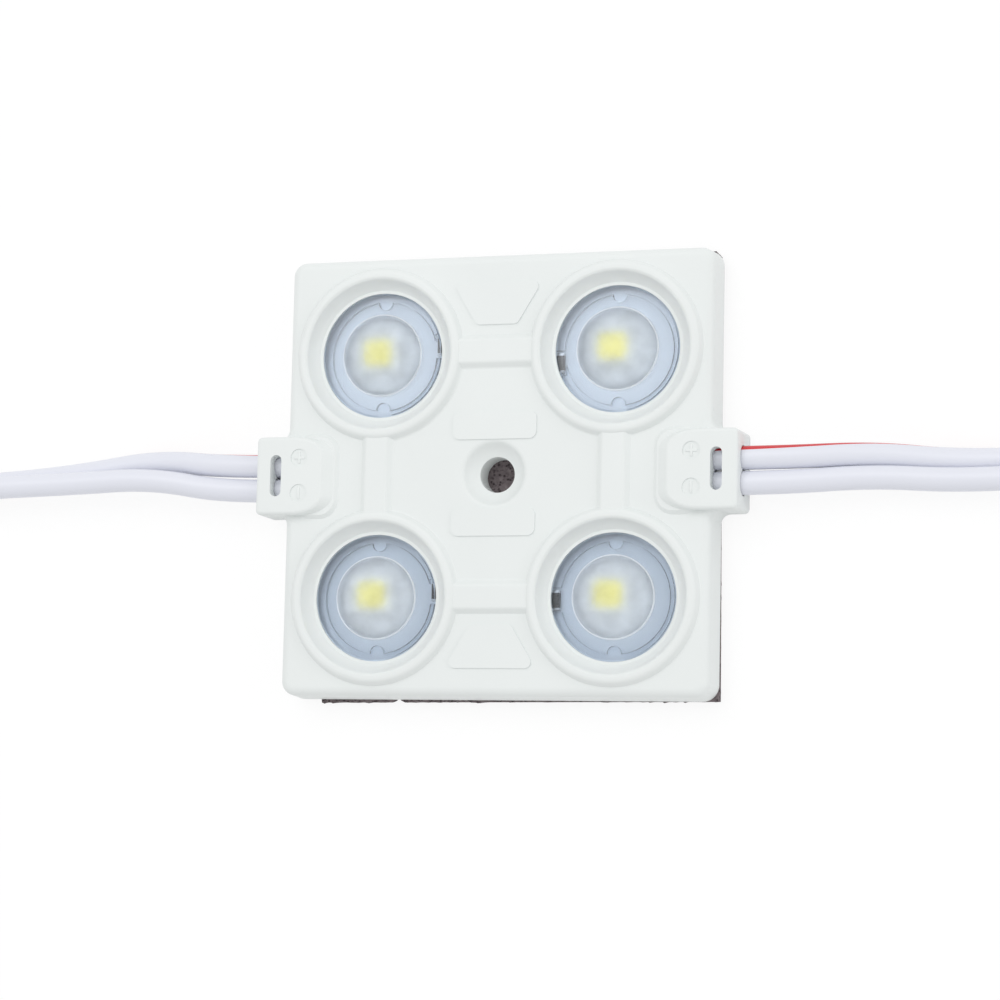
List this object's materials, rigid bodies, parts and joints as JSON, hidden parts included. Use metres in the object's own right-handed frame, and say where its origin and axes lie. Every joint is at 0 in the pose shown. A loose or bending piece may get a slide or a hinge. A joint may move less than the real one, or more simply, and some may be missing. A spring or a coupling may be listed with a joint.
{
  "type": "led module",
  "caption": "Square sign-lighting module: clear lenses over light sources in a white moulding, with a central screw hole, adhesive back and twin leads out of a clamp at each end.",
  "frame": {"origin": "centre of the adhesive face, on the axis of the screw hole", "axes": "+Z out of the lenses, +X along the leads towards the right clamp, +Y towards the positive cores"},
  "size_m": [0.14, 0.0363, 0.0047],
  "materials": {
    "housing": "moulded satin white",
    "circuit_board": "white solder mask",
    "foam_tape": "cut foam",
    "lens": "clear moulded",
    "led_package": "moulded white",
    "phosphor": "cast silicone with phosphor",
    "chip_resistor": "glazed black",
    "lead_jacket": "extruded soft white",
    "conductor": "stranded copper",
    "solder": "reflowed solder"
  },
  "bodies": {
    "root": {"housing": "housing", "circuit_board": "circuit_board", "foam_tape": "foam_tape", "lens_top_left": "lens", "lens_top_right": "lens", "lens_bottom_left": "lens", "lens_bottom_right": "lens", "led_top_left": "led_package", "led_top_right": "led_package", "led_bottom_left": "led_package", "led_bottom_right": "led_package", "phosphor_top_left": "phosphor", "phosphor_top_right": "phosphor", "phosphor_bottom_left": "phosphor", "phosphor_bottom_right": "phosphor", "chip_resistor_top_left": "chip_resistor", "chip_resistor_top_right": "chip_resistor", "chip_resistor_bottom_left": "chip_resistor", "chip_resistor_bottom_right": "chip_resistor", "lead_core_left_positive": "lead_jacket", "lead_core_left_negative": "lead_jacket", "lead_core_right_positive": "lead_jacket", "lead_core_right_negative": "lead_jacket", "conductor_left_positive": "conductor", "conductor_left_negative": "conductor", "conductor_right_positive": "conductor", "conductor_right_negative": "conductor", "solder_joint_left_positive": "solder", "solder_joint_left_negative": "solder", "solder_joint_right_positive": "solder", "solder_joint_right_negative": "solder"}
  },
  "joints": []
}
